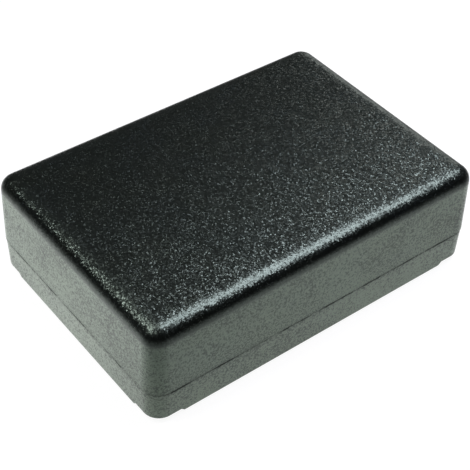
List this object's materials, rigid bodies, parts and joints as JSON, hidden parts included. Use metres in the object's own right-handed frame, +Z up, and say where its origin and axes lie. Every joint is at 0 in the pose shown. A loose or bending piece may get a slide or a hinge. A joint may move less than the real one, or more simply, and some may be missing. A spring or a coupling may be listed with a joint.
{
  "type": "electronics enclosure",
  "caption": "Small rectangular moulded case for electronics: deep cover over a shallow base, drafted walls, rounded edges, corner screws from beneath and board posts inside.",
  "frame": {"origin": "centre of the underside, in the plane that the case stands on", "axes": "+X along the length, +Y along the width, +Z up from the base to the cover"},
  "size_m": [0.072, 0.05, 0.021],
  "materials": {
    "case_plastic": "black moulded plastic, grained all over, coarser and glossier on the top face than on the walls",
    "screw_steel": "bright zinc-plated steel"
  },
  "bodies": {
    "base": {"base_shell": "case_plastic", "screw_front_left": "screw_steel", "screw_front_right": "screw_steel", "screw_rear_left": "screw_steel", "screw_rear_right": "screw_steel"},
    "cover": {"cover_shell": "case_plastic"}
  },
  "joints": [
    {"name": "cover_lift", "type": "slide", "parent": "base", "child": "cover", "axis": [0, 0, 1], "range_m": [0, 0.04]}
  ]
}
